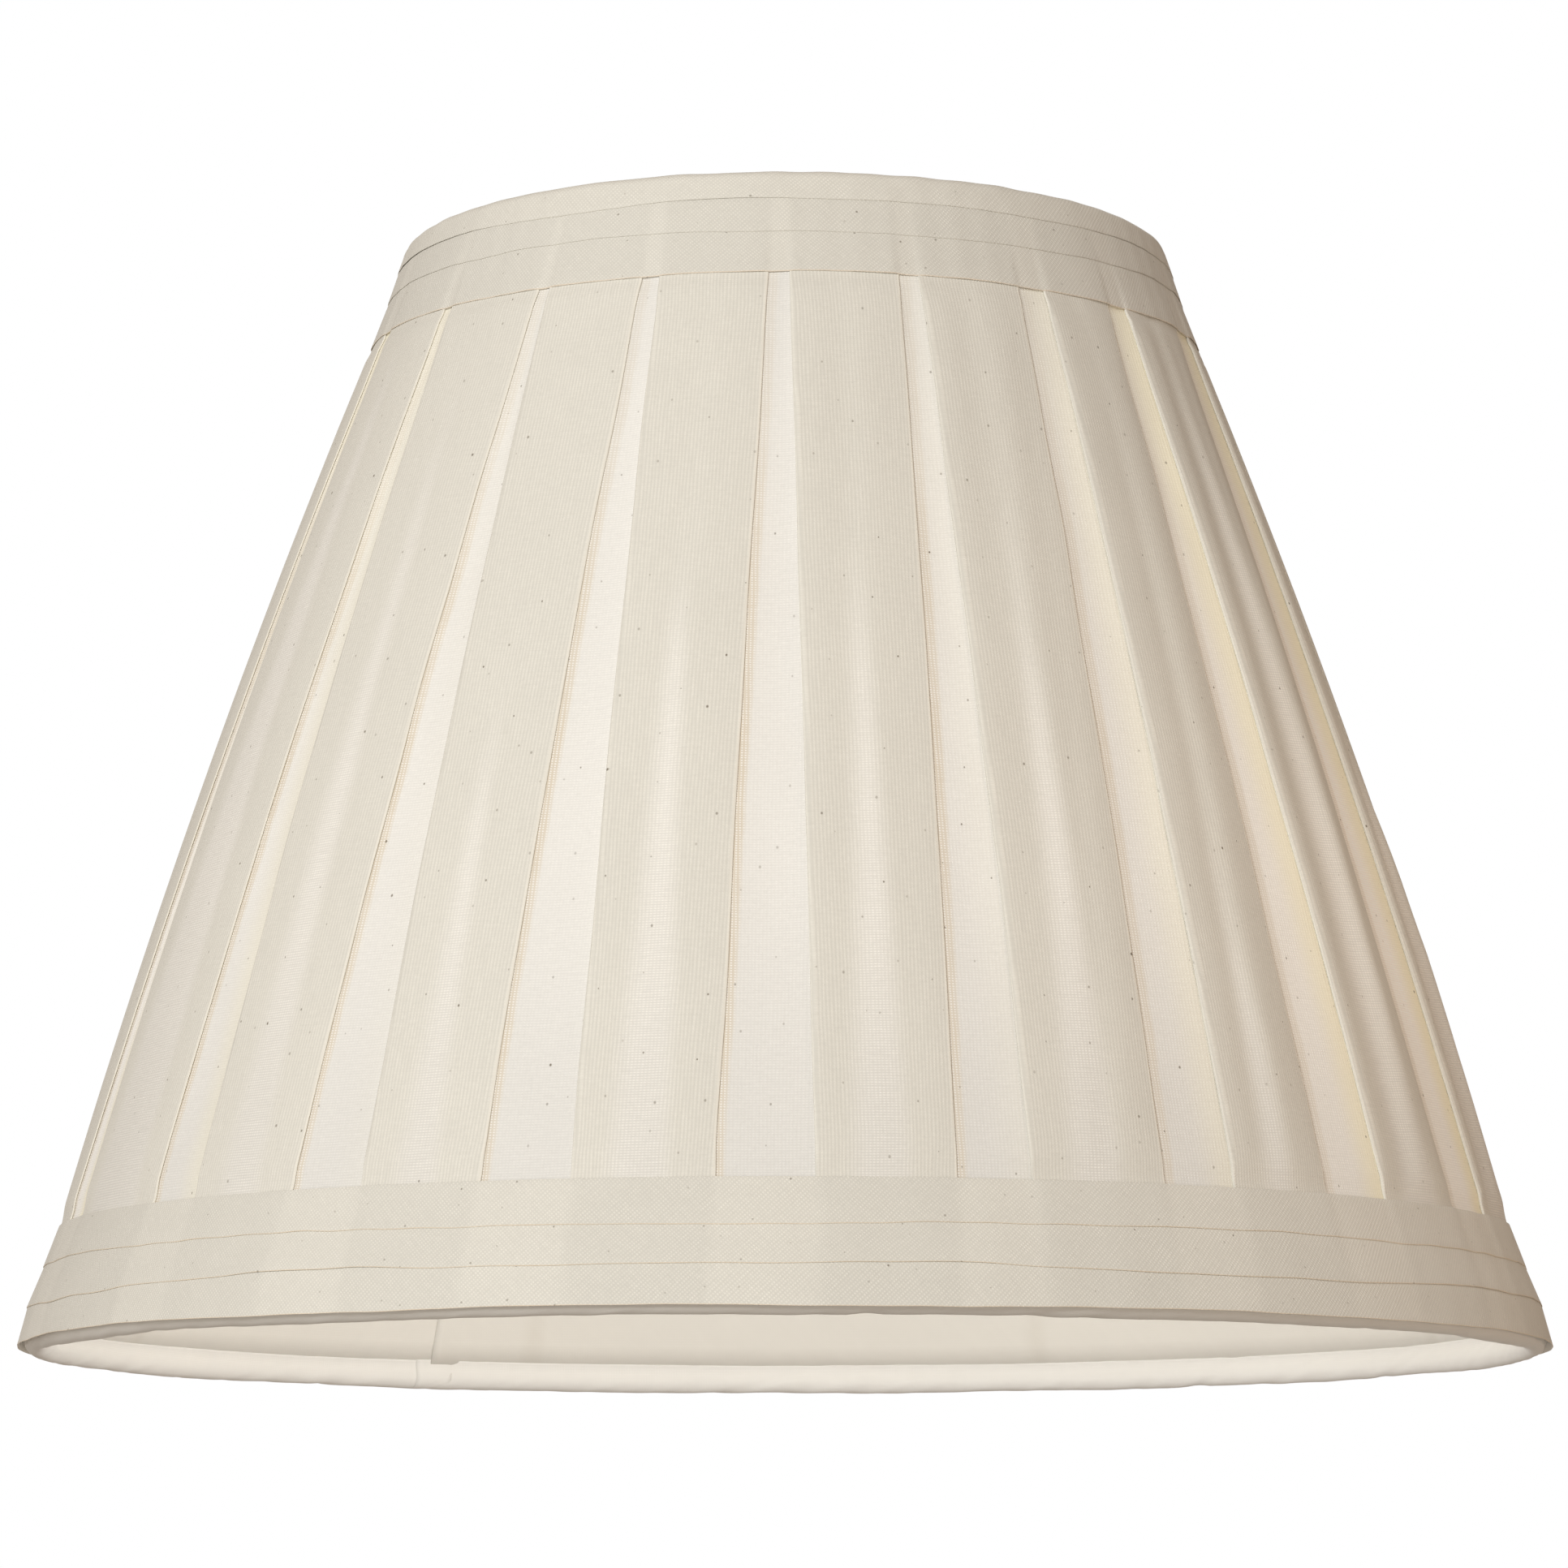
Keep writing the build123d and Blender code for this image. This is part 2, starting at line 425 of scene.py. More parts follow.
def pleated_cloth():
    """Undyed cotton, painted brighter where one layer lets light through than where three lie folded."""
    look = Shader("pleated_cloth", cotton_surface)
    across, along, panel = look.attribute("cloth")
    left, right, under = look.attribute("fold")
    lightness, open_width, _ = look.attribute("sheer")
    warp, weft = plain_weave(look, across, along)
    dots = warp * weft
    open_face = look.step(left - under, -4.0, 4.0) * look.step(right - under, -1.0, 5.0)
    open_face = open_face * look.step(left + right - under * 2, 1.5, 5.0)
    single = 1 - panel * (1 - open_face)
    gap = 1 - panel
    ragged = look.noise(0.0, along / 9, 4.0) * 0.5
    # Painted light and shade: a column of open weave beside each box's crisp fold, stronger lower down the
    # wall.
    sheer = gap * (1 - look.step(left + ragged + along * 0.003 - open_width, -0.6, 1.0))
    sheer = sheer * (look.step(along, 25, 140) * 0.5 + 0.2 + look.noise(0.0, along / 50, 6.0) * 0.3)
    sheer = sheer * (1 - (open_width - usual_open_width) * 0.26)
    # Painted glow: golden light painted on each gap beside the next box's soft roll, by its pleat's amount.
    glow = gap * (1 - look.step(right, 1.0, 11.0)) * lightness
    cloud = look.noise(across / 30, along / 45, 2.0, 3.0) * 0.022 + 1
    slub = look.noise(across / 5, along / 0.7, 9.0) * 0.035 + 1
    hairy = look.noise(across / 1.1, along / 1.1, 12.0) * 0.05 + 1
    # Painted shade: the single layer is painted darker towards the top and bottom trims.
    ends = (1 - look.step(along, 30, 80)) * 0.05 + look.step(along, 180, 285) * 0.09

    # Painted light: the single layer is painted brighter than the three folded layers, for light that comes
    # through it.
    thin = look.mix(panel, srgb(235, 232, 225), srgb(236, 232, 223))
    colour = look.mix(single, srgb(221, 217, 206), thin)
    contrast = (single - gap) * 0.08 + gap * -0.03 + 0.15
    ribbed = warp * 0.75 + dots * 0.5
    dotted = dots * 0.9 + weft * 0.35
    relief = ribbed + (dotted - ribbed) * single - 0.42
    colour = look.scaled(colour, (relief * contrast + 1) * cloud * slub * hairy * (1 - ends * single))
    # Painted light: each gap is painted brighter by its pleat's amount of light coming through.
    colour = look.scaled(colour, lightness * lightness * gap * 0.26 + 1)
    # Painted golden shade between the threads of that column, with bright threads on top.
    open_weave = look.mix(look.step(dots, 0.1, 0.55), srgb(216, 203, 181), srgb(248, 243, 234))
    colour = look.mix(sheer, colour, open_weave)
    # Painted golden glow beside the soft roll.
    colour = look.mix(glow * 0.7, colour, srgb(247, 238, 200))
    # Painted highlight along each box's crisp right fold, lightening the shade there.
    crisp = panel * (1 - look.step(right, 0.3, 0.9))
    colour = look.mix(crisp * 0.5, colour, srgb(242, 236, 222))
    flecks = look.specks(across / fleck_spacing, along / (fleck_spacing * 1.3), fleck_radius, 0.8)
    colour = look.mix(flecks, colour, fleck_colour)
    roughness = 0.93 - dots * 0.16
    return look.finish(colour, roughness, dots * 0.8 + slub * 2, 0.09)


def bias_cloth(name, shade_of, fold_shade_colour, edge_width, edge_strength, edge_at):
    """The same cotton cut on the bias, with a thin beaded line of painted shade along its folded edge."""
    look = Shader(name, cotton_surface)
    around_shade, along, edge = look.attribute("cloth")
    cover_under, _, _ = look.attribute("fold")
    slant = sqrt(0.5)
    across_bias = (around_shade + along) * slant
    along_bias = (around_shade - along) * slant
    warp, weft = plain_weave(look, across_bias, along_bias)
    dots = warp * weft
    cloud = look.noise(around_shade / 26, along / 9, 4.0, 3.0) * 0.028 + 1
    slub = look.noise(across_bias / 5, along_bias / 0.8, 9.0) * 0.035 + 1
    hairy = look.noise(around_shade / 1.1, along / 1.1, 12.0) * 0.05 + 1
    # Painted shade: the strip is painted a little darker over the boxes beneath it, where less light comes
    # through.
    colour = look.mix(cover_under, shade_of, tuple(c * 0.955 for c in shade_of[:3]) + (1,))
    colour = look.scaled(colour, ((dots - 0.33) * 0.26 + 1) * cloud * slub * hairy)
    beads = look.tops(around_shade + along, 0.62) * 0.5 + 0.5
    weight = look.noise(around_shade / 17, 0.0, 6.0) * 0.5 + 0.75
    # Painted shade: a thin beaded line of shade along the folded edge.
    line = 1 - look.step(look.math("ABSOLUTE", edge - edge_at), edge_width * 0.4, edge_width)
    colour = look.mix(line * beads * weight * edge_strength, colour, fold_shade_colour)
    # Painted light just beneath the folded edge, lightening the shade there.
    beneath = 1 - look.step(edge, -0.12, 0.06)
    colour = look.mix(beneath, colour, srgb(254, 251, 244))
    flecks = look.specks(around_shade / fleck_spacing, along / fleck_spacing, fleck_radius, 0.75)
    colour = look.mix(flecks * 0.8, colour, fleck_colour)
    return look.finish(colour, 0.93 - dots * 0.14, dots + slub * 1.5, 0.08)


def lining_cloth(name, white):
    """Smooth off-white lining with a soft sheen, and painted shade along the wires behind it and on the hem's
    roll.
    """
    look = Shader(name, {"Sheen Weight": 0.2, "Sheen Roughness": 0.35, "Specular IOR Level": 0.35})
    across, along, painted_shade = look.attribute("cloth")
    streak = look.noise(across / 2.5, along / 120, 2.0, 3.0) * 0.014 + 1
    cloud = look.noise(across / 60, along / 70, 5.0, 3.0) * 0.02 + 1
    fine = look.tops(across, 0.5) * look.tops(along, 0.5)
    colour = look.scaled(white, streak * cloud * (fine * 0.02 + 0.99))
    # Painted shade, from the third number of the cloth attribute.
    colour = look.mix(painted_shade * 0.4, colour, srgb(196, 186, 168))
    roughness = look.noise(across / 20, along / 60, 8.0) * 0.06 + 0.55
    return look.finish(colour, roughness, fine * 0.4 + streak * 3, 0.03)


def cotton_tape():
    """Narrow white cotton tape with a tight herringbone."""
    look = Shader("binding_tape", {"Sheen Weight": 0.15, "Specular IOR Level": 0.25})
    across, along, _ = look.attribute("cloth")
    zigzag = look.math("PINGPONG", across, 1.5)
    rows = look.tops(along + zigzag, 0.7)
    soil = look.noise(across / 6, along / 9, 1.0, 3.0) * 0.03 + 1
    colour = look.scaled(srgb(240, 236, 226), (rows * 0.08 + 0.94) * soil)
    return look.finish(colour, 0.92 - rows * 0.1, rows, 0.06)


def painted_wire():
    """White enamel on steel wire, dull in patches."""
    look = Shader("frame_wire", {"Coat Weight": 0.25, "Coat Roughness": 0.3})
    x, y, z = look.object_place()
    patch = look.noise(x / 9, y / 9, z / 9, 4.0)
    worn = look.step(patch, 0.42, 0.6)
    colour = look.mix(worn, srgb(238, 237, 232), srgb(196, 190, 180))
    orange_peel = look.noise(x / 1.3, y / 1.3, z / 1.3, 2.0)
    return look.finish(colour, patch * 0.08 + 0.38 + worn * 0.15, orange_peel * 0.5 + 0.5, 0.04)


def nickel_plate():
    """Satin nickel plate with fine brushing and faint tarnish."""
    look = Shader("spider_metal", {"Metallic": 1.0, "Anisotropic": 0.25})
    x, y, z = look.object_place()
    cloud = look.noise(x / 7, y / 7, z / 7, 4.0)
    brushed = look.noise(x / 0.18, y / 2.6, z / 0.5, 3.0)
    colour = look.mix(cloud * 0.5 + 0.5, srgb(206, 202, 194), srgb(184, 178, 166))
    roughness = cloud * 0.07 + 0.34 + brushed * 0.05
    return look.finish(colour, roughness, brushed * 0.5 + 0.5, 0.01)


# --- pleated cover

cover_thickness = 0.16
pleat_count = 21
pleat_pitch = tau / pleat_count
first_gap = radians(-1.1)
cut_per_pleat = 98.0
usual_open_width = 2.5

# The pleats in front, from left to right: how far each gap is turned from its even place at the bottom and
# at the top, in degrees, its width there in millimetres, how deep its folds are, where 1 is usual, and how
# much painted light comes through its single layer, from 0 to 1.
front_pleats = [
    (-2.8, -0.6, 16.7, 6.3, 0.6, 1.0),
    (0.0, 0.9, 19.3, 3.6, 0.6, 0.35),
    (-0.2, 1.8, 21.7, 3.4, 0.7, 0.05),
    (-0.7, 0.4, 23.3, 4.7, 0.8, 0.0),
    (-0.3, 0.3, 24.0, 5.5, 1.0, 0.0),
    (-0.9, 0.3, 18.7, 5.3, 1.25, 0.1),
    (-1.6, 1.3, 20.3, 8.1, 1.6, 0.35),
    (-2.8, 0.2, 23.0, 7.1, 1.9, 0.8),
    (-2.0, 3.1, 23.3, 8.9, 2.0, 1.0),
]
front_first = -4

# The cover's outer face: pressed flat under the trims, and crowned between them.
crown_edge_out = 4.1
crown_run = 4.5
tuck_run = 14.0
layer = 0.2
pressed_depth = 2 * layer
end_depth = 0.55
middle_depth = 2.5
left_roll = 1.3
right_roll = 0.4
inwards = (0.5, 0.98)
outwards = (0.98, 0.5)


def sewn_pleats():
    """Every pleat, with the turns of its gap first: as listed, or at random at the back."""
    source = random.Random(7)
    sewn = []
    for number in range(pleat_count):
        place = (number - front_first) % pleat_count
        even = first_gap + number * pleat_pitch
        if place < len(front_pleats):
            bottom_shift, top_shift, *rest = front_pleats[place]
        else:
            bottom_shift = source.uniform(-1.5, 1.2)
            top_shift = source.uniform(-0.6, 1.8)
            rest = [source.uniform(*ends) for ends in ((18, 24), (3.4, 8), (0.7, 1.6), (0.1, 0.9))]
        sewn.append((even + radians(bottom_shift), even + radians(top_shift), *rest))
    return sewn


class Pleats:
    """Where the folds of the cover run, straight down the wall from trim to trim."""

    def __init__(self):
        self.first_down = Span("top_trim_lower").bottom
        self.last_down = Span("bottom_trim_upper").top
        self.sewn = sewn_pleats()

    def radius(self, down):
        return wall_point(down, crown_edge_out)[0]

    def gap(self, number, down):
        """Turn of the middle of a gap, and half its width as an angle."""
        bottom, top, bottom_width, top_width = self.sewn[number % pleat_count][:4]
        lap = number // pleat_count * tau
        share = (down - self.first_down) / (self.last_down - self.first_down)
        radius = self.radius(down)
        mean = (bottom + top) / 2
        top_part = (1 - share) * self.radius(self.first_down) * (top - mean)
        bottom_part = share * self.radius(self.last_down) * (bottom - mean)
        width = top_width + (bottom_width - top_width) * share
        return lap + mean + (top_part + bottom_part) / radius, np.maximum(width, 1.5) / 2 / radius

    def relief(self, number):
        """How deep the folds of a pleat are, where 1 is usual."""
        return self.sewn[number % pleat_count][4]

    def box_share(self, turn, down):
        """1 over the boxes and 0 over the gaps."""
        share = np.ones(np.broadcast(turn, down).shape)
        for number in range(pleat_count):
            middle, half = self.gap(number, down)
            away = np.abs(turn_from(middle, turn))
            share = share * smooth(away - half, -0.006, 0.012)
        return share


pleats = Pleats()


class Cover:
    """The pleated cover, column by column along its strip of cloth."""

    def __init__(self, down):
        self.down = down
        self.radius = pleats.radius(down)
        span = Span("pleated_cover")
        first, last = pleats.first_down, pleats.last_down
        middle = (first + last) / 2
        away = np.clip((down - middle) / ((last - first) / 2), -1, 1)
        crown = crown_edge_out + (span.outside - 0.15 - crown_edge_out) * (1 - away**2)
        crown = crown - cover_thickness / 2
        top_edge = Span("top_trim_lower").bottom_out - tuck_depth
        bottom_edge = Span("bottom_trim_upper").top_out + upper_lift - tuck_depth
        pressed = span.top_out - cover_thickness / 2
        out = top_edge + (crown - top_edge) * smooth(down, first, first + crown_run)
        out = out + (bottom_edge - crown) * smooth(down, last - 1.5 * crown_run, last)
        above = pressed + (top_edge - pressed) * smooth(down, first - tuck_run, first)
        below = bottom_edge + (pressed - bottom_edge) * smooth(down, last, last + tuck_run)
        out = np.where(down < first, above, np.where(down > last, below, out))
        self.face_out = out
        self.free = smooth(down, first - 1, first + 12) * (1 - smooth(down, last - 14, last + 1))
        inside = smooth(down, first - 8, first) * (1 - smooth(down, last, last + 8))
        fullness = np.clip(1 - away**2, 0, 1) ** 0.35
        self.opened = (end_depth - pressed_depth + (middle_depth - end_depth) * fullness) * inside
        self.columns = []

    def add(self, *fields):
        """Adds a column: turn, out, place across the cloth, panel, and way to the left and right fold."""
        fields += (self.under, self.sheer, self.open_width)
        self.columns.append([np.broadcast_to(value, self.down.shape) for value in fields])

    def add_beneath(self, shares, edge, reach, out, rise, *fields):
        """Adds columns of the cloth beneath a box, at shares of its reach from an edge."""
        for share in shares:
            self.add(edge + reach * share / self.radius, out + rise * (1 - share), *fields)

    def add_pleat(self, number):
        """One length of the strip: a gap, and the box to its right with the folds beneath it."""
        source = random.Random(100 + number % pleat_count)
        seed = source.randrange(1000)
        radius, down, free = self.radius, self.down, self.free
        gap_left, gap_right = self.edges(number)
        next_left, _ = self.edges(number + 1)
        _, before_right = self.edges(number - 1)
        box_width = (next_left - gap_right) * radius
        spare = (cut_per_pleat - (next_left - gap_left) * radius) / 4
        self.under = under = np.minimum(spare, box_width / 2 - 0.8)
        under_before = np.minimum(spare, (gap_left - before_right) * radius / 2 - 0.8)
        relief = pleats.relief(number)
        # How much painted light comes through this pleat's gap, from 0 to 1.
        self.sheer = pleats.sewn[number % pleat_count][5]
        self.open_width = usual_open_width + 1.8 * max(relief - 1, 0)
        opened = self.deep(number)
        gap_out = self.floor_out(number)
        next_out = self.floor_out(number + 1)
        roll = 0.2 + (left_roll * max(relief, 1) - 0.2) * free
        crisp = 0.2 + (right_roll - 0.2) * free
        gap_cloth = number * cut_per_pleat
        box_cloth = gap_cloth + cut_per_pleat / 2
        gap_width = (gap_right - gap_left) * radius
        sag = ripples(seed + 1, 90, 30)(down) * 0.10 * free
        rise = (source.uniform(0.74, 0.86) - 0.12 * max(relief - 1, 0)) * opened * min(relief, 1)
        sink = np.maximum(self.edge_out(number - 1) - 2.5 * layer - gap_out, 0)

        # The gap, which sinks in the middle, and the cloth beneath the boxes on either side.
        across = gap_cloth - gap_width / 2
        self.add_beneath(outwards, gap_left, -under_before, gap_out, sink, across, 0, 0, 9)
        for share in np.linspace(0, 1, 11):
            turn = gap_left + (gap_right - gap_left) * share
            out = gap_out + sag * sin(pi * share) + sink * (1 - share) ** 2 + rise * share**2
            left = share * gap_width
            self.add(turn, out, across + left, 0, left, gap_width - left)
        left_edge = gap_right + roll / radius
        self.add_beneath(inwards, left_edge, under, gap_out, rise, across + gap_width, 0, gap_width, 0)

        # Back under the box to its left edge, and round the soft roll there.
        right_edge = next_left - crisp / radius
        face_width = (right_edge - left_edge) * radius
        across = box_cloth - box_width / 2
        self.add_beneath(outwards, left_edge, under, gap_out + layer, rise, across, 1, -1, 9)
        step = self.face_out - gap_out - layer - rise
        for angle in np.linspace(-pi / 2, pi / 2, 10)[:-1]:
            wrapped = roll * (1 - sin(angle)) / 2
            out = self.face_out - step * (1 - max(sin(angle), 0))
            across = box_cloth - face_width / 2 - wrapped * 2
            self.add(left_edge - roll * cos(angle) / radius, out, across, 1, -wrapped, box_width)

        # The face falls from the roll over the fold beneath it, rises past it and falls to the crisp edge.
        dip = source.uniform(0.22, 0.32) * opened * relief
        bare = smooth(face_width - 2 * under, -2, 5)
        ridge = source.uniform(0.28, 0.40) * opened * relief * (0.3 + 0.7 * bare)
        edge_drop = self.face_out - self.edge_out(number)
        wrinkle = ripples(seed + 3, 70, 18)(down) * 0.06 * free
        crease = source.uniform(-1.0, 1.0)
        waves = ripples(seed + 5, 24, 9)
        for share in (1 - np.cos(np.linspace(0, pi, 27))) / 2:
            left = share * face_width
            right = face_width - left
            crest = np.maximum(face_width - under * 0.9, under + 3.0) + crease
            fall = smooth(left, 0.5, under + 1.0) * dip
            climb = smooth(left, under * 0.75, crest) * ridge
            past = np.clip((left - crest + 3.0) / (face_width - crest + 3.0), 0, 1)
            drop = past**1.8 * (edge_drop - dip + ridge)
            swell = waves(left + down * 0.03) * 0.13 * max(relief - 0.6, 0) * free
            out = self.face_out - fall + climb - drop + (wrinkle + swell) * sin(pi * share)
            across = box_cloth + left - face_width / 2
            turn = left_edge + left / radius
            self.add(turn, out, across, 1, left + roll, right + crisp)

        # Round the crisp fold on the right, and back beneath.
        edge_out = self.edge_out(number)
        half_step = 0.75 * layer
        for angle in np.linspace(pi / 2, -pi / 2, 6)[1:]:
            wrapped = crisp * (1 - sin(angle)) / 2
            out = edge_out - half_step * (1 - sin(angle))
            across = box_cloth + face_width / 2 + wrapped * 2
            self.add(right_edge + crisp * cos(angle) / radius, out, across, 1, box_width, -wrapped)
        across = box_cloth + box_width / 2
        rest = edge_out - 2.5 * layer - next_out
        self.add_beneath(inwards, right_edge, -under, next_out + layer, rest, across, 1, 9, -1)

    def deep(self, number):
        """How much deeper than pressed cloth the folds of a pleat are."""
        return self.opened * (1 + 0.3 * (pleats.relief(number) - 1))

    def floor_out(self, number):
        """Place of the bottom of a gap."""
        return self.face_out - pressed_depth - self.deep(number)

    def edge_out(self, number):
        """Place of the crisp right edge of a box."""
        return self.face_out - min(0.5 * pleats.relief(number), 0.85) * self.deep(number)

    def edges(self, number):
        """Turns of the left and right edge of a gap, which wander a little."""
        middle, half = pleats.gap(number, self.down)
        seed = 400 + 2 * (number % pleat_count)
        left, right = (ripples(seed + side, 150, 45)(self.down) for side in (0, 1))
        wander = 0.12 * self.free / self.radius
        return middle - half + left * wander, middle + half + right * wander

    def mesh(self):
        fields = np.array(self.columns).transpose(1, 2, 0)
        turn, out, across, panel, left, right, under, sheer, open_width = fields
        down = self.down[:, None]
        cloth = (across, down, panel)
        fold = (left, right, under)
        sheer = (sheer, open_width, 0.0)
        return grid_mesh("pleated_cloth", on_wall(turn, down, out), cloth=cloth, fold=fold, sheer=sheer)


def make_cover():
    """The box-pleated cover, as one long strip of cloth."""
    span = Span("pleated_cover")
    first, last = pleats.first_down, pleats.last_down
    down = np.concatenate([
        np.linspace(span.top + 0.3, first - 3, 5),
        np.linspace(first - 0.8, first + 6, 8),
        np.linspace(first + 10, last - 11, 34),
        np.linspace(last - 8, last + 0.8, 8),
        np.linspace(last + 4, span.bottom - 0.3, 5),
    ])
    cover = Cover(down)
    for number in range(pleat_count):
        cover.add_pleat(number)
    mesh = cover.mesh()
    cloth = pleated_cloth()
    piece = add_piece("box_pleated_cover", mesh, cloth, ["pleated_cover"], cover_thickness)


# --- trims

trim_thickness = 0.08
trim_inset = 0.1
fold_radius = 0.05
layer_gap = 0.02
tuck_depth = trim_inset + 2 * fold_radius + trim_thickness + layer_gap
upper_lift = 0.45
join_turn = pi
lap_angle = 0.06
lap_lift = 0.3
steps_around = 720


def turns_around(start):
    """Turns of a band's columns, once round and over its own start."""
    return start - tau + np.linspace(0, tau + lap_angle, steps_around)


def lapped(turns, start):
    """1 where a band lies over its own start, and 0 elsewhere."""
    return smooth(turns - start, -0.02, 0.01)


class Path:
    """Cross-section of a band, as rows from its upper edge to its raw inner end."""

    def __init__(self):
        self.rows = []
        self.length = 0.0

    def add(self, down, out, sways):
        """Adds a row. sways is how much the row moves with the band's uneven lower edge, from 0 to 1."""
        if self.rows:
            self.length += hypot(down - self.rows[-1][0], out - self.rows[-1][1])
        self.rows.append((down, out, sways, self.length))

    def columns(self):
        """Places down and out, sways and lengths of all rows, each as a column."""
        return np.array(self.rows).T[:, :, None]

    def from_fold(self):
        """Length from each row to the fold at the lower edge."""
        return self.rows[self.fold_row][3] - self.columns()[3]

    def line(self, start, end, count, sways=(0, 1)):
        """Adds rows along a straight line, less its first point on a path that has begun."""
        for share in np.linspace(0, 1, count)[1 if self.rows else 0:]:
            down, out = (a + (b - a) * share for a, b in zip(start, end))
            self.add(down, out, sways[0] + (sways[1] - sways[0]) * share)

    def arc(self, centre, radius, start, end, count, sways=0.0):
        """Adds rows round an arc. Angles go from straight up the wall to straight out."""
        for angle in np.radians(np.linspace(start, end, count)[1 if self.rows else 0:]):
            self.add(centre[0] - radius * cos(angle), centre[1] + radius * sin(angle), sways)

    def fold_under(self, down, out, length, slope):
        """Folds the cloth under, and runs it back up beneath itself."""
        self.fold_row = len(self.rows) + 2
        down -= fold_radius
        self.arc((down, out - fold_radius), fold_radius, 90, 270, 6, 1.0)
        inner = out - 2 * fold_radius
        self.line((down, inner), (down - length, inner - length * slope), 4, (1, 0.4))


def strip_path(span, above):
    """Path of a strip, tucked beneath the strip above it or turned under at a free edge."""
    path = Path()
    lower = (span.bottom - fold_radius, span.bottom_out - trim_inset)
    if above:
        contact = (above.bottom, above.bottom_out - tuck_depth)
        slope = max((above.bottom_out - above.top_out) / (above.bottom - above.top), 0)
        hidden = (span.top + 0.4, contact[1] - slope * (above.bottom - span.top) - 0.03)
        path.line(hidden, contact, 4, (0, 0))
    else:
        contact = (span.top + 0.1, span.top_out + upper_lift - trim_inset)
        beneath = contact[1] - 2 * fold_radius
        path.line((contact[0] + 3.0, beneath), (contact[0], beneath), 3, (0, 0))
        path.arc((contact[0], contact[1] - fold_radius), fold_radius, -90, 90, 6)
    path.line(contact, lower, 9)
    slope = (lower[1] - contact[1]) / (lower[0] - contact[0])
    path.fold_under(span.bottom, lower[1], 0.7 * (span.bottom - span.top), slope)
    return path


def strip_swell(turns):
    """Slow swelling that all strips share, so that they stay close."""
    return ripples(47, 0.5, 0.07)(turns) * 0.05


def band_mesh(name, path, seed, start, sway, lift):
    """Mesh of a band that follows the pleats, with an uneven lower edge."""
    turns = turns_around(start)
    down, out, sways, length = path.columns()
    along = turns * wall_point(down.mean(), out.mean())[0]
    wander = ripples(seed, 420, 60)(along) * sway + ripples(seed + 1, 60, 17)(along) * sway * 0.25
    boxes = pleats.box_share(turns[None, :], down)
    swell = strip_swell(turns) + lift(down, boxes)
    over = lapped(turns, start) * lap_lift
    points = on_wall(turns[None, :], down + wander * sways, out + swell + over)
    cloth = (along, length + seed * 3.7, path.from_fold())
    return grid_mesh(name, points, cloth=cloth, fold=(boxes, 0.0, 0.0))


def make_strip(number, node, above, material, sway, lift):
    """One bias strip with its lower edge folded under."""
    span = Span(node)
    path = strip_path(span, above and Span(above))
    mesh = band_mesh(node, path, 40 + 10 * number, join_turn, sway, lift)
    piece = add_piece(node + "_strip", mesh, material, [node], trim_thickness)


arm_radius = 1.4
slit_radius = arm_radius + 0.2
slit_reach = 0.02


class Rim:
    """The band that rolls over the top ring, slit where the spider's arms pass through."""

    def __init__(self, node):
        span = Span(node)
        radius = -span.top
        self.centre = (0.0, span.inside + radius)
        middle = radius - 0.12
        inside = self.centre[1] - middle
        outside = self.centre[1] + middle
        raw_end = span.down[span.out < 0].max()
        turned_in = [
            (raw_end - 1.2, inside + 0.28),
            (raw_end - 0.15, inside + 0.24),
            (raw_end, inside + 0.1),
            (raw_end - 0.2, inside),
            (0.0, inside),
        ]
        self.path = Path()
        for start, end, count in zip(turned_in, turned_in[1:], (3, 2, 2, 5)):
            self.path.line(start, end, count, (0, 0))
        self.path.arc(self.centre, middle, -90, 90, 25)
        self.path.line((0.0, outside), (span.bottom - fold_radius, span.bottom_out - trim_inset), 5)
        self.path.fold_under(span.bottom, span.bottom_out - trim_inset, 4.0, 0.0)

    def slit_columns(self, turns):
        """Turns for every row, with the columns beside each arm drawn apart round it."""
        down, out, _, _ = self.path.columns()
        radius, height = wall_point(down, out)
        sheet = turns + 0 * down
        for node in arm_nodes:
            arm_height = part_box(node)[1].z / MM - arm_radius
            away = np.abs(height - arm_height) / slit_radius
            half = np.sqrt(np.clip(1 - away**2, 0, 1)) * slit_radius * (radius < top_radius) / radius
            offset = turn_from(turn_of(node), sheet)
            sheet = sheet + np.sign(offset) * np.exp(-np.abs(offset) / slit_reach) * half
        return sheet


def make_rim(material):
    rim = Rim("top_trim_rim")
    turns = turns_around(join_turn)
    for node in arm_nodes:
        offset = turn_from(turn_of(node), turns)
        nearest = np.argmin(np.abs(offset))
        turns = np.insert(turns, nearest + 1, turns[nearest] - offset[nearest] + 1e-5)
        turns[nearest] = turns[nearest] - offset[nearest] - 1e-5
    turns = np.sort(turns)
    sheet = rim.slit_columns(turns)
    down, out, sways, length = rim.path.columns()
    along = sheet * top_radius
    wander = ripples(31, 300, 60)(along) * 0.4
    rolled = ripples(32, 45, 9)(along + length) * 0.07
    swell = rolled + (strip_swell(sheet) - rolled) * smooth(down, -1.0, 3.0)
    swell = swell + lapped(sheet, join_turn) * lap_lift
    centre_down, centre_out = rim.centre
    away = np.hypot(down - centre_down, out - centre_out)
    points = on_wall(
        sheet,
        down + wander * sways + (down - centre_down) / away * swell * (down < 0),
        out + np.where(down < 0, (out - centre_out) / away, 1) * swell * np.where(out > 0, 1, 0.3),
    )
    mesh = grid_mesh("rim_band", points, cloth=(along, length, rim.path.from_fold()), fold=(0.0, 0.0, 0.0))
    open_slits(mesh, turns, sheet)
    piece = add_piece("top_rim_band", mesh, material, ["top_trim_rim"], trim_thickness)


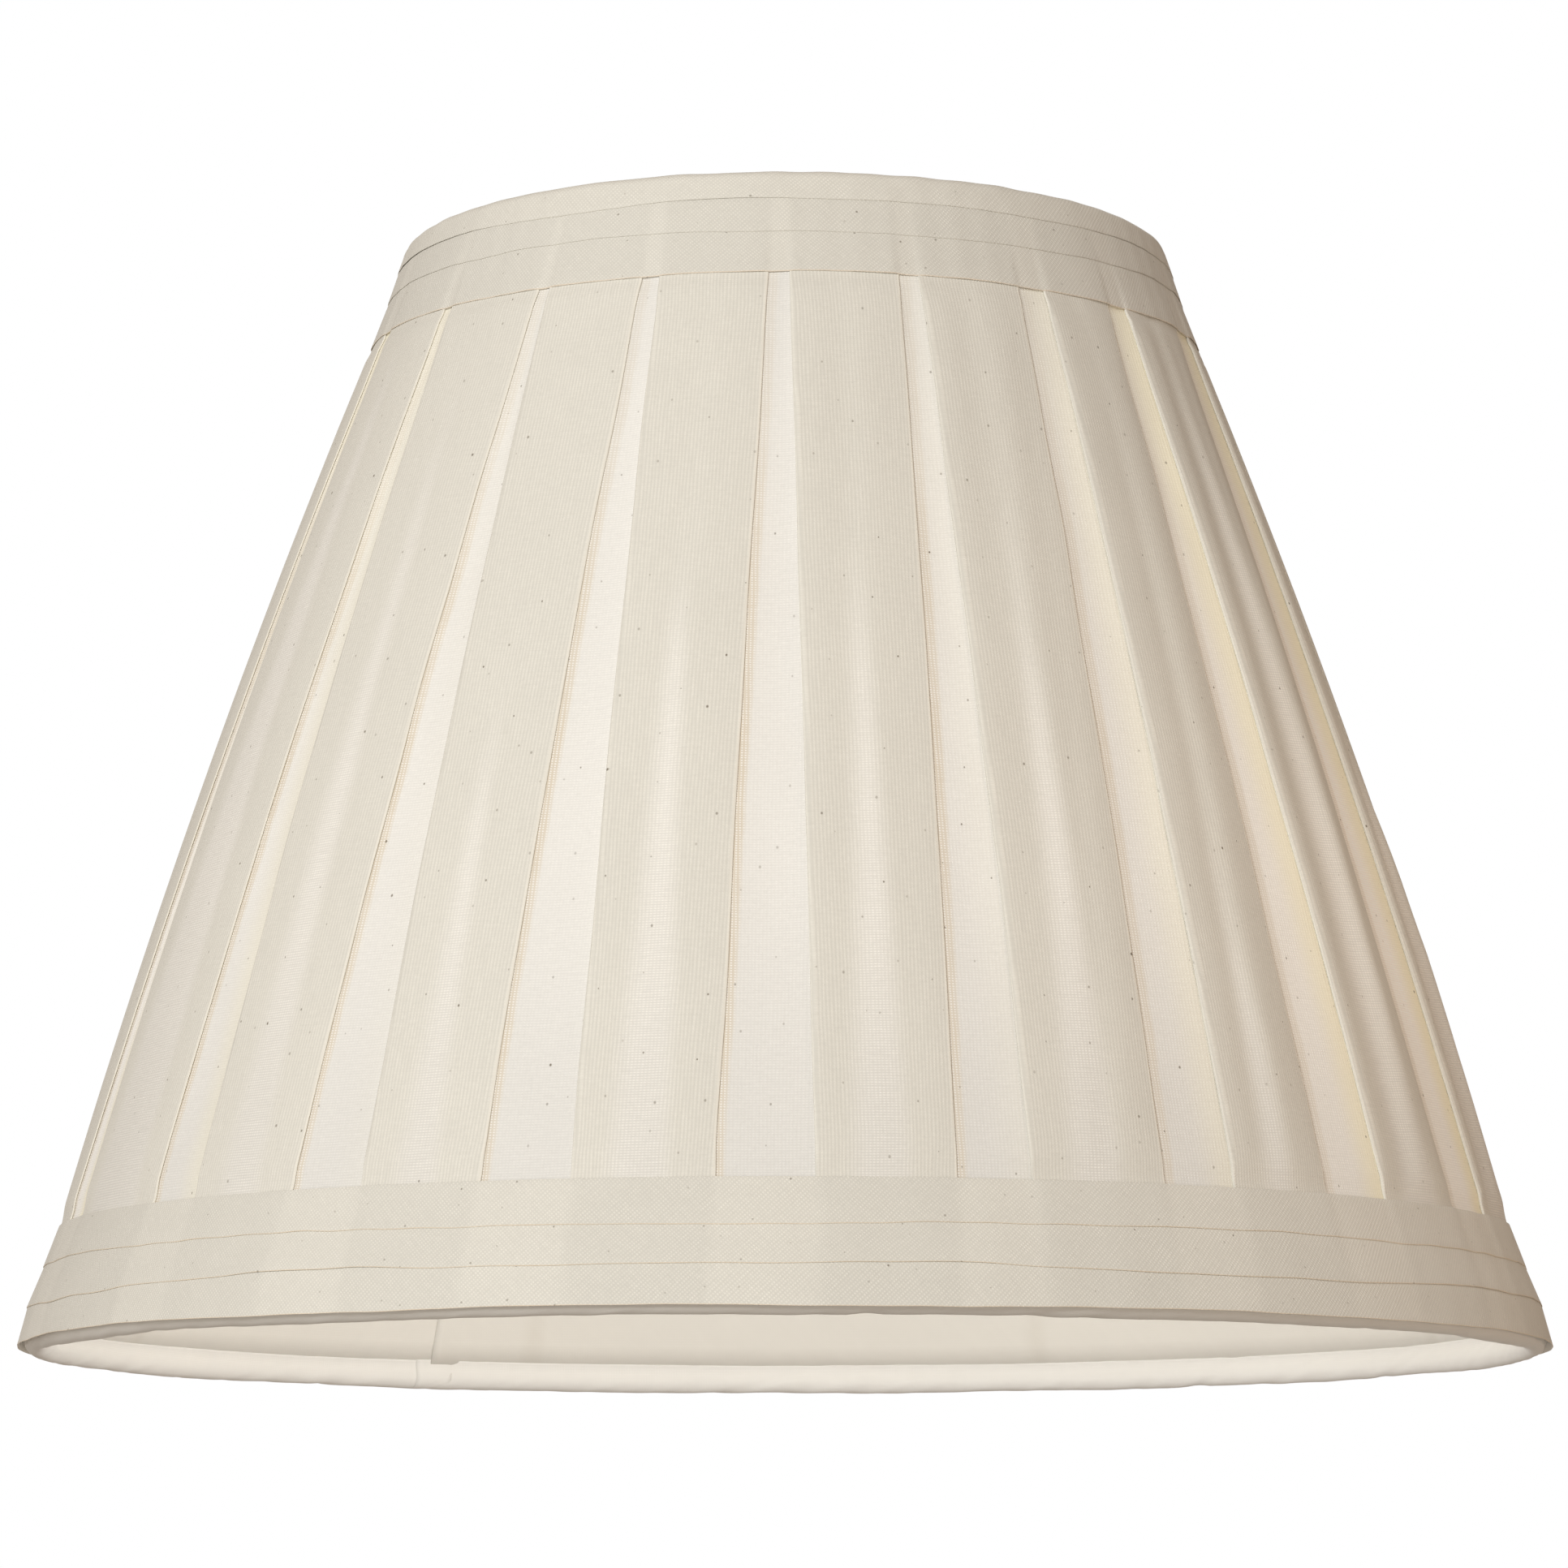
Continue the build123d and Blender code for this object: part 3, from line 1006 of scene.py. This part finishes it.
def open_slits(mesh, turns, sheet):
    """Takes away the faces between the two columns that are drawn apart at each arm."""
    columns = len(turns)
    gaps = set()
    for node in arm_nodes:
        offset = turn_from(turn_of(node), turns)
        left = int(np.argmin(np.where(offset < 0, -offset, tau)))
        wide = np.diff(sheet[:, left:left + 2], axis=1)[:, 0] > 0.001
        gaps |= {(row, left) for row in range(len(sheet) - 1) if wide[row] or wide[row + 1]}
    work = bmesh.new()
    work.from_mesh(mesh)
    work.faces.ensure_lookup_table()
    doomed = [work.faces[row * (columns - 1) + column] for row, column in gaps]
    bmesh.ops.delete(work, geom=doomed, context="FACES")
    work.to_mesh(mesh)
    work.free()


def top_lift(down, boxes):
    """The top strips stand out over the boxes and sink over the gaps."""
    return 0.13 * smooth(down, 0, 28) * boxes - 0.26 * smooth(down, 12, 28) * (1 - boxes)


def bottom_lift(down, boxes):
    """The bottom strips stand out over the boxes."""
    return 0.22 * (1 - smooth(down, 278, 312)) * boxes


def make_trims():
    pale = srgb(224, 220, 209)
    # The grey, tan and peach are painted shade lines along the strips' folded edges.
    grey = srgb(206, 201, 188)
    tan = srgb(226, 204, 172)
    peach = srgb(232, 208, 178)
    top_cloth = bias_cloth("trim_cloth_top", pale, grey, 0.4, 0.5, 0.0)
    low_top_cloth = bias_cloth("trim_cloth_top_edge", pale, peach, 0.3, 0.7, 0.1)
    bottom_cloth = bias_cloth("trim_cloth_bottom", pale, tan, 0.32, 0.85, 0.0)
    make_rim(top_cloth)
    make_strip(1, "top_trim_middle", "top_trim_rim", top_cloth, 0.35, top_lift)
    make_strip(2, "top_trim_lower", "top_trim_middle", low_top_cloth, 0.25, top_lift)
    make_strip(3, "bottom_trim_upper", None, bottom_cloth, 0.3, bottom_lift)
    make_strip(4, "bottom_trim_middle", "bottom_trim_upper", bottom_cloth, 0.4, bottom_lift)
    make_strip(5, "bottom_trim_lower", "bottom_trim_middle", bottom_cloth, 0.25, bottom_lift)


# --- lining, hem and tapes

lining_thickness = 0.3
hem_cloth_thickness = 0.22
seam_turn = radians(-150)
seam_lap = 0.035


def make_lining(material):
    """Lining cloth drawn tight between the rings, and lapped at one upright seam."""
    span = Span("lining")
    middle = (span.inside + span.outside) / 2
    down = np.linspace(span.top + 0.2, span.bottom - 0.2, 44)[:, None]
    turns = seam_turn + np.linspace(0, tau + seam_lap, 540)
    radius = wall_point(down, middle)[0]
    between = (down - span.top) / (span.bottom - span.top)
    tight = np.sin(pi * between)
    ribs = np.zeros(np.broadcast(turns, down).shape)
    for node in rib_nodes:
        away = np.abs(turn_from(turn_of(node), turns)) * radius
        ribs = np.maximum(ribs, 1 - smooth(away, 0.6, 4.5))
    draw = ripples(71, 0.9, 0.25)(turns) * 0.16 * tight + ribs * -0.15 * tight
    seam = (turns - seam_turn) / seam_lap
    lap = smooth(seam, tau / seam_lap - 0.6, tau / seam_lap) * -0.32
    fell = np.exp(-((seam - 0.5) / 0.25) ** 2) * 0.12
    points = on_wall(turns, down, middle + draw + lap - fell)
    # The third number is painted shade along the ribs behind the lining.
    mesh = grid_mesh("lining_cloth", points, cloth=(turns * radius, down, ribs * 0.3))
    piece = add_piece("lining_wall", mesh, material, ["lining"], lining_thickness)


def make_hem(material):
    """Lining turned out under the bottom ring in a soft roll with small puckers."""
    low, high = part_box("hem_roll")
    inner_radius = corner_places("hem_roll")[0].min()
    roll = (high.x / MM - inner_radius) / 2
    centre = wall_place(inner_radius + roll, low.z / MM + roll)
    swollen = roll - 0.35
    lining = Span("lining")
    lining_out = (lining.inside + lining.outside) / 2 - lining_thickness / 2 + 0.02

    # Round the ring, then up over the inside of the lining.
    path = Path()
    path.arc(centre, swollen, 44, 290, 28)
    down, out, _, _ = path.rows[-1]
    end = lining.bottom
    ends = np.array([(down, out), (down - 1.6, out + 0.6), (end + 0.4, lining_out), (end - 1.6, lining_out)])
    for share in np.linspace(0, 1, 10)[1:]:
        weights = np.array([(1 - share)**3, 3 * share * (1 - share)**2, 3 * share**2 * (1 - share), share**3])
        path.add(*(weights @ ends), 0.0)

    down, out, _, length = path.columns()
    turns = turns_around(seam_turn)
    along = turns * inner_radius
    section = smooth(length, 0.0, 3.0) * (1 - 0.75 * smooth(length, length.max() - 6.0, length.max()))
    puff = ripples(81, 170, 30)(along) * 0.14 + ripples(82, 24, 7)(along + length * 3) * 0.05
    crease = np.maximum(ripples(83, 55, 16)(along + length * 1.5) - 1.1, 0) * -0.25
    stretch = 1 + ((puff + crease) * section + lapped(turns, seam_turn) * 0.14) / swollen
    down = centre[0] + (down - centre[0]) * stretch
    out = centre[1] + (out - centre[1]) * stretch
    points = on_wall(turns, down, out)
    points[..., 2] = np.maximum(points[..., 2], low.z + 0.12 * MM)
    # Painted shade on the outer, downward side of the roll, and a little on its end inside the lining.
    inner = smooth(length, length.max() - 8.0, length.max() - 3.5)
    painted_roll_shade = 1 - smooth(length, 8.5, 11.0) + 0.2 * inner
    mesh = grid_mesh("hem_cloth", points, cloth=(along, length, painted_roll_shade))
    piece = add_piece("hem_roll_cloth", mesh, material, ["hem_roll"], hem_cloth_thickness)


tape_width = 11.0
tape_advance = 8.0
tape_inside = 1.62


def wound_tape(name, ring_node, wire_nodes, cad_node, material):
    """Cotton tape wound round a ring, with one length in each bay between the wires."""
    ring_radius, ring_height = ring_middle(ring_node)
    margin = 2.0 / ring_radius
    starts = sorted(turn_of(node) % tau for node in wire_nodes)
    ends = starts[1:] + [starts[0] + tau]
    points, faces, cloth = [], [], []
    across = np.linspace(0, 1, 5)[:, None]
    for start, end in zip(starts, ends):
        room = (end - start - 2 * margin) * ring_radius
        width = min(tape_width, room / 2)
        wraps = (room - width) / tape_advance
        share = np.linspace(0, 1, int(wraps * 20) + 4)[None, :]
        place = share * (room - width) + across * width
        turn = start + margin + place / ring_radius
        angle = share * wraps * tau + across * 0.2
        radius = tape_inside + 0.22 * across
        hoop = ring_radius + radius * np.sin(angle)
        height = ring_height + radius * np.cos(angle)
        block = around(hoop, height, turn)
        faces += grid_faces(*block.shape[:2], len(points))
        points += block.reshape(-1, 3).tolist()
        run = share * wraps * hypot(tau * tape_inside, tape_advance)
        cloth += np.stack(np.broadcast_arrays(across * width, run, 0.0), -1).reshape(-1, 3).tolist()
    mesh = smooth_mesh(name, points, faces, {"cloth": cloth})
    piece = add_piece(name, mesh, material, [cad_node])


def make_soft_inside():
    make_lining(lining_cloth("lining_satin", srgb(236, 233, 225)))
    # The hem's copy of the lining cloth is whiter, for its doubled cloth and as painted light on the roll.
    make_hem(lining_cloth("hem_satin", srgb(242, 241, 237)))
    tape = cotton_tape()
    wound_tape("top_ring_wound_tape", "top_ring", rib_nodes + arm_nodes, "top_ring_tape", tape)
    wound_tape("bottom_ring_wound_tape", "bottom_ring", rib_nodes, "bottom_ring_tape", tape)


# --- wires and welds

def weld_mesh(name, size, seed):
    """Small uneven bead of weld metal."""
    upright = np.linspace(0.02, pi - 0.02, 14)[:, None]
    turns = np.linspace(0, tau, 25)[None, :]
    lump = 1 + ripples(seed, 2.2, 0.9)(turns + upright * 2) * 0.05
    level = lump * np.sin(upright)
    points = np.stack([level * np.cos(turns), level * np.sin(turns), lump * np.cos(upright)], -1) * size * MM
    points[:, -1] = points[:, 0]
    return grid_mesh(name, points)


def make_metal():
    wire = painted_wire()
    nickel = nickel_plate()
    for name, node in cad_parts.items():
        material = nickel if name.startswith("spider") else wire
        if name.startswith(("spider", "rib", "top_ring", "bottom_ring")) and not node.hide_render:
            node.data.materials.clear()
            node.data.materials.append(material)
    low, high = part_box("spider_washer")
    for number, node in enumerate(arm_nodes, 1):
        turn = turn_of(node)
        place = Vector((high.x * sin(turn), -high.x * cos(turn), (low.z + high.z) / 2))
        mesh = weld_mesh(f"weld_{number}", (1.9, 2.4, 1.75), 90 + number)
        mesh.transform(Matrix.Translation(place) @ Matrix.Rotation(turn - pi / 2, 4, "Z"))
        add_piece(f"spider_weld_{number}", mesh, nickel)


# --- the whole scene

make_camera()
make_world()
make_light()
make_floor()
make_cover()
make_trims()
make_soft_inside()
make_metal()
